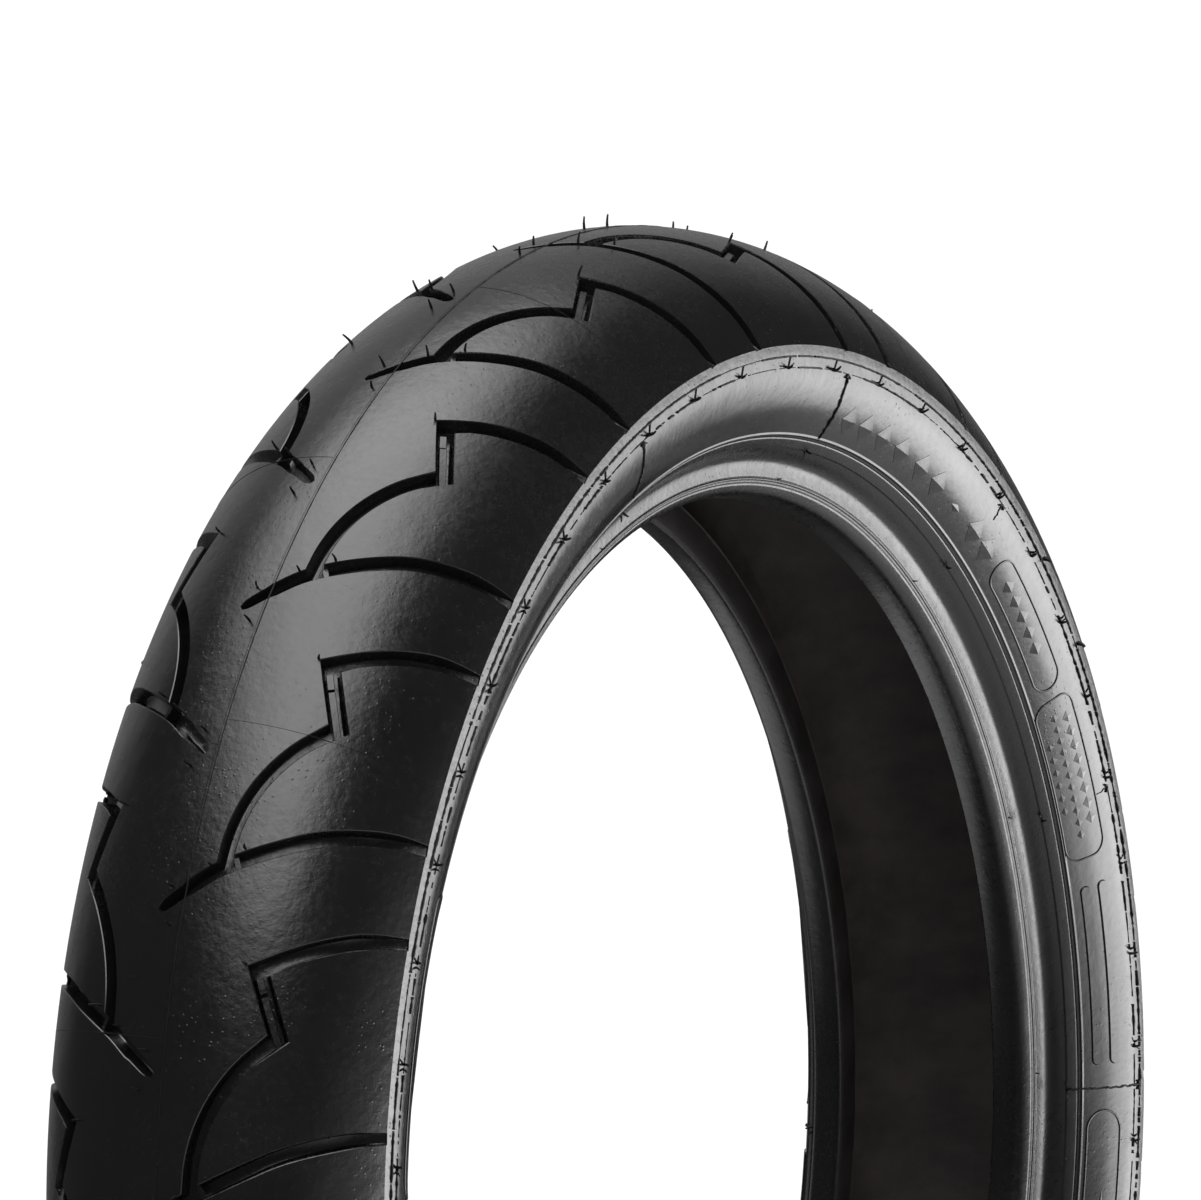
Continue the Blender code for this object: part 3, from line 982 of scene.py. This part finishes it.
def flash_joints(mesh, surface):
    """Radial joints of the mould, each with a forked top and stalks near the rim line."""
    for joint, top, bottom in SIDE_JOINTS:
        for turn in HALF_TURNS:
            angle = joint + turn
            steps = max(int((bottom - top) / 0.8), 3)
            path = [(angle + random.uniform(-0.06, 0.06), top + (bottom - top) * k / steps)
                    for k in range(steps + 1)]
            section = BOLD_FLASH if bottom > 20.0 else THIN_FLASH
            ribbon(mesh, surface, path, section, share=torn(steps + 1, 0.5))
            for lean in (-0.9, 1.0):
                fork = [(angle + lean * 0.12 * k, top + 0.35 * k) for k in range(4)]
                ribbon(mesh, surface, fork, BOLD_FLASH)
            hair(mesh, surface, angle, STEP_LINE - 0.2, 2.4, -0.8, -1.0, 0.5)
            hair(mesh, surface, angle - 0.4, STEP_LINE, 1.8, -1.4, 0.6, 0.42)
            hair(mesh, surface, angle - 1.6, HEEL_MIDDLE - 0.9, 1.2, 0.3, -0.4, 0.3)


def flash_lines(side):
    """All the mould flash on a sidewall."""
    surface = Sidewall(side)
    mesh = bmesh.new()
    flash_rings(mesh, surface)
    flash_vents(mesh, surface)
    flash_joints(mesh, surface)
    for angle in KNOB_ANGLES:
        hair(mesh, surface, angle, 1.6, 2.6, 0.8, 0.8, 0.95)
    bmesh.ops.recalc_face_normals(mesh, faces=mesh.faces)
    return mesh


def stud(mesh, surface, angle, drop, half_width, half_height, rise):
    """Diamond-shaped stud: a low four-sided pyramid on the surface."""
    scale = surface.scale(drop)
    corners = ((-half_width, 0.0), (0.0, half_height), (half_width, 0.0), (0.0, -half_height))
    foot = []
    rim = []
    for (x0, y0), (x1, y1) in zip(corners, corners[1:] + corners[:1]):
        for share in (0.0, 0.25, 0.5, 0.75):
            x, y = x0 + (x1 - x0) * share, y0 + (y1 - y0) * share
            foot.append(mesh.verts.new(surface.point(angle + x / scale, drop + y, ROOT_DEPTH)))
            rim.append(mesh.verts.new(surface.point(angle + x / scale, drop + y, 0.1)))
    apex = mesh.verts.new(surface.point(angle, drop, rise))
    count = len(rim)
    for i in range(count):
        j = (i + 1) % count
        mesh.faces.new((rim[i], foot[i], foot[j], rim[j]))
        mesh.faces.new((rim[i], rim[j], apex))
    mesh.faces.new(foot[::-1])


def studs(side):
    """Rows of plain diamond studs in the places where a tyre carries its lettering."""
    mesh = bmesh.new()
    for turn in HALF_TURNS:
        surface = Sidewall(side, turn * side)
        for angle in (10.5, 13.4, 16.5, 19.8, 23.5, 26.6, 34.2, 36.8):
            stud(mesh, surface, angle, 22.6, 5.0, 5.1, 0.45)
        stud(mesh, surface, 30.4, 23.4, 3.2, 1.4, 0.4)
        for k in range(5):
            stud(mesh, surface, 41.7 + 1.75 * k, 22.1, 2.9, 2.8, 0.42)
        for first, count, pitch, drop, size in PANEL_STUDS:
            for k in range(count):
                stud(mesh, surface, first + pitch * k, drop, size, size, 0.16 * size)
        stud(mesh, surface, 101.0, 22.6, 22.0, 2.6, 0.5)
    bmesh.ops.recalc_face_normals(mesh, faces=mesh.faces)
    return mesh


def markings(side):
    """Two plain raised bars, and the raised outlines round the rows of studs."""
    mesh = bmesh.new()
    for turn in HALF_TURNS:
        surface = Sidewall(side, turn * side)
        scale = surface.scale(24.0)
        for top in (16.4, 23.8):
            bar = rounded_box((70.9, 85.9), (top, top + 4.2), 2.05, scale, 6)
            raised_patch(mesh, surface, bar, 0.6)
        capsule = rounded_box((39.1, 52.9), (16.4, 27.9), 5.6, scale, 10)
        panel = rounded_box((54.0, 68.6), (14.7, 31.2), 5.5, scale, 10)
        badge = rounded_box((89.6, 112.4), (15.4, 29.8), 7.0, scale, 10)
        for outline in (capsule, panel, badge):
            ribbon(mesh, surface, outline, OUTLINE_RIB, closed=True)
    bmesh.ops.recalc_face_normals(mesh, faces=mesh.faces)
    return mesh


# ---------------------------------------------------------------- inside


def liner_ring():
    """Inner liner, a smooth arch from bead to bead."""
    steps = 7
    arch = [(radius, -side) for radius, side in reversed(LINER_HALF[1:])] + list(LINER_HALF)
    inside = [arch[0]]
    for before, corner, after in zip(arch, arch[1:], arch[2:]):
        start = [(b + c) / 2.0 for b, c in zip(before, corner)]
        end = [(c + a) / 2.0 for c, a in zip(corner, after)]
        for i in range(steps):
            t = i / (steps - 1.0)
            inside.append(tuple((1 - t) ** 2 * s + 2 * t * (1 - t) * c + t * t * e
                                for s, c, e in zip(start, corner, end)))
    inside.append(arch[-1])
    outside = [(radius + 0.3, side * 1.008) for radius, side in LINER_HALF[:-1]] + [LINER_EDGE]
    outside = [(radius, -side) for radius, side in reversed(outside[1:])] + outside

    def ripple(side, angle):
        return 0.08 * math.sin(math.radians(angle * 47.0)) * math.exp(-(side / 40.0) ** 2)

    return turned_mesh(inside + outside[::-1], LINER_SEGMENTS, ripple)


# ---------------------------------------------------------------- assembly


def place(piece, slot, *nodes):
    """Fix a piece to the tyre, and let it stand for CAD nodes, which are hidden. slot is not used."""
    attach(piece, "root")
    if nodes:
        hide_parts(*nodes)


def build_tyre():
    place(cut_tread(), "tread_rubber", "tread_cap")
    place(step_bars(), "tread_rubber")
    place(tread_flash(), "tread_rubber")
    for side, word in ((1, "right"), (-1, "left")):
        place(make_object(f"sidewall_surface_{word}", sidewall_ring(side), SIDE_RUBBER, 50.0),
              "sidewall_rubber", f"sidewall_{word}")
        place(make_object(f"bead_surface_{word}", bead_ring(side), BEAD_RUBBER, 50.0, TOE_RUBBER),
              "rim_strip_rubber", f"rim_strip_{word}")
        place(make_object(f"sidewall_flash_{word}", flash_lines(side), FLASH_RUBBER), "sidewall_rubber")
        place(make_object(f"sidewall_markings_{word}", markings(side), SIDE_RUBBER), "sidewall_rubber")
        place(make_object(f"sidewall_studs_{word}", studs(side), SIDE_RUBBER, 8.0), "sidewall_rubber")
    place(make_object("liner_surface", liner_ring(), LINER_RUBBER), "liner_rubber", "inner_liner")


def dress_cad_nodes():
    """Materials for the layers that stay as their CAD solids."""
    finishes = {
        "tread_base": BASE_RUBBER,
        "shoulder_wedge": BASE_RUBBER,
        "bead_filler": BASE_RUBBER,
        "breaker": BREAKER_FABRIC,
        "carcass_ply": PLY_FABRIC,
        "bead_wrap": CHAFER_FABRIC,
        "chafer": CHAFER_FABRIC,
        "bead_core": BEAD_STEEL,
    }
    for name, node in frame["nodes"].items():
        for start, finish in finishes.items():
            if name.startswith(start):
                node.data.materials.clear()
                node.data.materials.append(finish)


# ---------------------------------------------------------------- studio


def floor():
    """Pale floor just under the tyre, hidden from glossy rays."""
    ground = cad_box[0][2] - 0.0005
    size = 400.0
    mesh = bmesh.new()
    corners = ((-size, -size), (size, -size), (size, size), (-size, size))
    mesh.faces.new([mesh.verts.new((x, y, ground)) for x, y in corners])
    n = Nodes("floor_paper")
    n.put((0.93, 0.93, 0.93, 1.0), "Base Color")
    n.put(0.9, "Roughness")
    n.put(0.1, "Specular IOR Level")
    data = bpy.data.meshes.new("floor")
    mesh.to_mesh(data)
    mesh.free()
    data.materials.append(n.material)
    made = bpy.data.objects.new("floor", data)
    made.visible_glossy = False
    bpy.context.scene.collection.objects.link(made)


# Soft-edged lights: facing, across, level, edges across, edges up
OVERHEAD = ((0.0, 0.0, 1.0), (0.9, 0.44, 0.0), 5.3, (-2.9, -0.7, 0.15, 0.85), (-1.3, -0.2, -0.02, 0.56))
LOW_SIDE = ((0.62, -0.74, -0.24), (-0.77, -0.64, -0.16), 8.5, (-0.8, -0.12, 0.1, 1.05),
            (-0.38, -0.06, 0.1, 0.48))
FAR_SIDE = ((-0.1, 0.85, -0.5), (1.0, 0.12, 0.0), 1.2, (-0.7, -0.2, 0.3, 0.8), (-1.4, -0.8, -0.2, 0.32))

# Broad glows: facing, low, high, level
FRONT_GLOW = ((0.25, -0.75, -0.6), 0.4, 0.98, 0.9)
BACK_GLOW = ((0.64, 0.58, 0.5), 0.72, 1.0, 0.34)
AMBIENT = 0.06
WHITE = (1.0, 1.0, 1.0, 1.0)
SURROUND_LEVEL = 1.15


class Sky:
    """Node maths on the direction of a ray that leaves the studio."""

    def __init__(self, tree):
        self.tree = tree
        self.direction = tree.nodes.new("ShaderNodeTexCoord").outputs["Generated"]

    def math(self, operation, first, second):
        made = self.tree.nodes.new("ShaderNodeMath")
        made.operation = operation
        for slot, value in ((0, first), (1, second)):
            if isinstance(value, (int, float)):
                made.inputs[slot].default_value = value
            else:
                self.tree.links.new(value, made.inputs[slot])
        return made.outputs["Value"]

    def dot(self, axis):
        made = self.tree.nodes.new("ShaderNodeVectorMath")
        made.operation = "DOT_PRODUCT"
        self.tree.links.new(self.direction, made.inputs[0])
        made.inputs[1].default_value = axis
        return made.outputs["Value"]

    def ramp(self, value, low, high, to=1.0):
        """Smooth rise from 0 at low to a level at high."""
        made = self.tree.nodes.new("ShaderNodeMapRange")
        made.interpolation_type = "SMOOTHSTEP"
        self.tree.links.new(value, made.inputs["Value"])
        made.inputs["From Min"].default_value = low
        made.inputs["From Max"].default_value = high
        made.inputs["To Min"].default_value = 0.0
        made.inputs["To Max"].default_value = to
        return made.outputs["Result"]

    def panel(self, facing, across, level, across_edges, up_edges):
        """Soft-edged rectangular light. Edges are (outer, full, full, outer) slopes from its middle."""
        facing = Vector(facing).normalized()
        across = (Vector(across) - facing * Vector(across).dot(facing)).normalized()
        ahead = self.math("MAXIMUM", self.dot(facing), 0.02)
        light = self.ramp(self.dot(facing), 0.02, 0.2, level)
        for axis, edges in ((across, across_edges), (across.cross(facing), up_edges)):
            slope = self.math("DIVIDE", self.dot(axis), ahead)
            light = self.math("MULTIPLY", light, self.ramp(slope, edges[0], edges[1]))
            opposite = self.math("SUBTRACT", 0.0, slope)
            light = self.math("MULTIPLY", light, self.ramp(opposite, -edges[3], -edges[2]))
        return light

    def glow(self, facing, low, high, level):
        """Broad light that fades away from one direction."""
        return self.ramp(self.dot(Vector(facing).normalized()), low, high, level)


def background(tree, strength):
    made = tree.nodes.new("ShaderNodeBackground")
    made.inputs["Color"].default_value = WHITE
    if isinstance(strength, float):
        made.inputs["Strength"].default_value = strength
    else:
        tree.links.new(strength, made.inputs["Strength"])
    return made.outputs["Background"]


def world():
    """White surroundings for the floor, and soft panels that only glossy rays see."""
    scene_world = bpy.data.worlds.new("studio")
    bpy.context.scene.world = scene_world
    scene_world.use_nodes = True
    scene_world.cycles.sampling_method = "NONE"
    tree = scene_world.node_tree
    tree.nodes.clear()
    sky = Sky(tree)
    panels = sky.math("ADD", sky.panel(*OVERHEAD), sky.panel(*LOW_SIDE))
    glows = sky.math("ADD", sky.math("ADD", sky.glow(*FRONT_GLOW), sky.glow(*BACK_GLOW)), AMBIENT)
    gloss = sky.math("ADD", sky.math("ADD", panels, glows), sky.panel(*FAR_SIDE))
    path = tree.nodes.new("ShaderNodeLightPath")
    mix = tree.nodes.new("ShaderNodeMixShader")
    output = tree.nodes.new("ShaderNodeOutputWorld")
    tree.links.new(path.outputs["Is Glossy Ray"], mix.inputs["Fac"])
    tree.links.new(background(tree, SURROUND_LEVEL), mix.inputs[1])
    tree.links.new(background(tree, gloss), mix.inputs[2])
    tree.links.new(mix.outputs["Shader"], output.inputs["Surface"])


def camera():
    """Long lens, from the front right of the tyre and a little above the axle."""
    data = bpy.data.cameras.new("camera")
    data.sensor_width = 36.0
    data.lens = 475.2
    data.clip_start = 0.1
    data.clip_end = 1000.0
    made = bpy.data.objects.new("camera", data)
    right = Vector((0.47829, -0.87794, 0.02134))
    up = Vector((0.02209, 0.03631, 0.99910))
    back = right.cross(up)
    pose = Matrix((right, up, back)).transposed().to_4x4()  # the three axes as columns
    pose.translation = Vector((-4.6525, -2.5193, 0.3763))
    made.matrix_world = pose
    bpy.context.scene.collection.objects.link(made)
    bpy.context.scene.camera = made


def studio():
    floor()
    world()
    camera()
    bpy.context.scene.view_settings.view_transform = "Standard"


build_tyre()
dress_cad_nodes()
studio()
